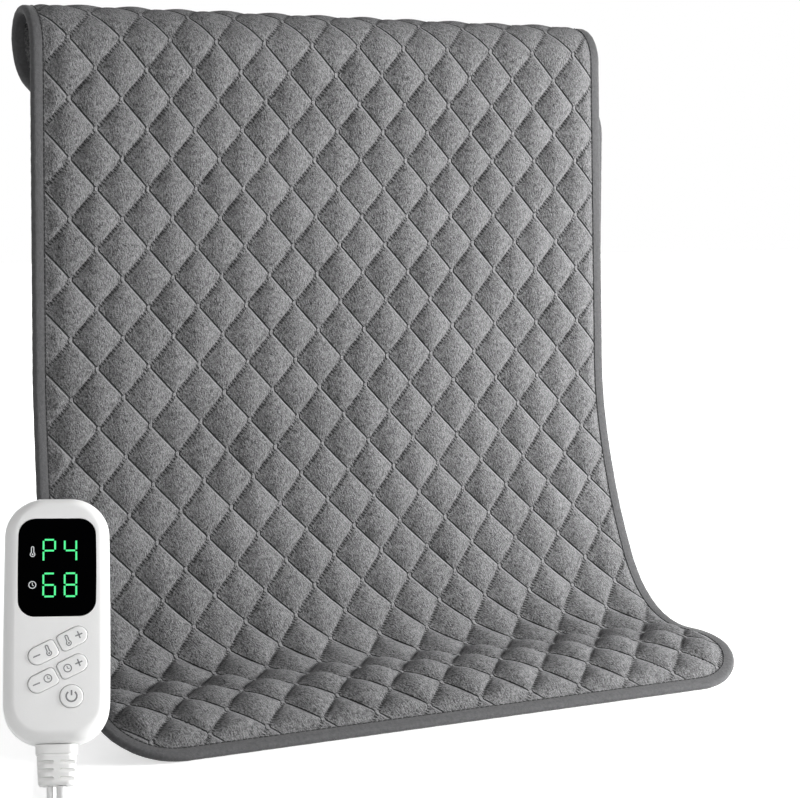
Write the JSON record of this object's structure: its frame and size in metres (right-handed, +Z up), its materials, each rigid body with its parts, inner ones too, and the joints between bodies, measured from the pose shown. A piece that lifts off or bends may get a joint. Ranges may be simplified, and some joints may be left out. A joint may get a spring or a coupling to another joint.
{
  "type": "heating pad with controller",
  "caption": "Quilted plush heating pad standing draped, with a wired hand controller that has a display window, tilted button pairs and a power button.",
  "frame": {"origin": "middle of the flattened underside of the pad's front binding, on the floor", "axes": "+Z up from the floor, +X along the pad's width to the right seen from the front, +Y back from the front edge"},
  "size_m": [0.3968, 0.3252, 0.3207],
  "materials": {
    "plush": "short pile",
    "binding": "woven tape",
    "batting": "felted",
    "carrier": "non-woven",
    "wire": "matt",
    "cutout": "matt",
    "soft_white": "matt",
    "case": "satin",
    "button": "satin",
    "window": "gloss",
    "module": "matt",
    "board": "solder mask",
    "chip": "matt",
    "capacitor": "gloss",
    "fuse_tube": "clear",
    "inner_wire": "matt",
    "screw": "plated",
    "cord": "satin",
    "tie": "matt",
    "plug": "satin",
    "blade": "plated"
  },
  "bodies": {
    "pad_and_case": {"quilted_cover": "plush", "batting_sheet": "batting", "heating_wire": "wire", "thermal_cutout": "cutout", "wire_carrier": "carrier", "back_cover": "plush", "edge_binding": "binding", "pad_inlet_boot": "soft_white", "front_shell": "case", "rear_shell": "case", "display_window": "window", "display_module": "module", "circuit_board": "board", "temp_down_switch": "chip", "temp_up_switch": "chip", "time_down_switch": "chip", "time_up_switch": "chip", "power_switch": "chip", "microcontroller": "chip", "triac": "chip", "filter_capacitor": "capacitor", "fuse": "fuse_tube", "inner_wire_1": "inner_wire", "inner_wire_2": "inner_wire", "inner_wire_3": "inner_wire", "inner_wire_4": "inner_wire", "strain_relief": "soft_white", "case_screw_1": "screw", "case_screw_2": "screw", "case_screw_3": "screw", "case_screw_4": "screw", "pad_lead_start": "cord", "pad_lead_coil": "cord", "pad_lead_end": "cord", "lead_tie": "tie", "mains_cord_start": "cord", "mains_coil": "cord", "mains_cord_end": "cord", "mains_tie": "tie", "plug_body": "plug", "plug_blade_1": "blade", "plug_blade_2": "blade"},
    "temp_down": {"temp_down_button": "button"},
    "temp_up": {"temp_up_button": "button"},
    "time_down": {"time_down_button": "button"},
    "time_up": {"time_up_button": "button"},
    "power": {"power_button": "button"}
  },
  "joints": [
    {"name": "temp_down_press", "type": "slide", "parent": "pad_and_case", "child": "temp_down", "axis": [0.3184, 0.8562, -0.4067], "range_m": [0, 0.0004], "stiffness_N_per_m": 800},
    {"name": "temp_up_press", "type": "slide", "parent": "pad_and_case", "child": "temp_up", "axis": [0.3184, 0.8562, -0.4067], "range_m": [0, 0.0004], "stiffness_N_per_m": 800},
    {"name": "time_down_press", "type": "slide", "parent": "pad_and_case", "child": "time_down", "axis": [0.3184, 0.8562, -0.4067], "range_m": [0, 0.0004], "stiffness_N_per_m": 800},
    {"name": "time_up_press", "type": "slide", "parent": "pad_and_case", "child": "time_up", "axis": [0.3184, 0.8562, -0.4067], "range_m": [0, 0.0004], "stiffness_N_per_m": 800},
    {"name": "power_press", "type": "slide", "parent": "pad_and_case", "child": "power", "axis": [0.3184, 0.8562, -0.4067], "range_m": [0, 0.0004], "stiffness_N_per_m": 800}
  ]
}
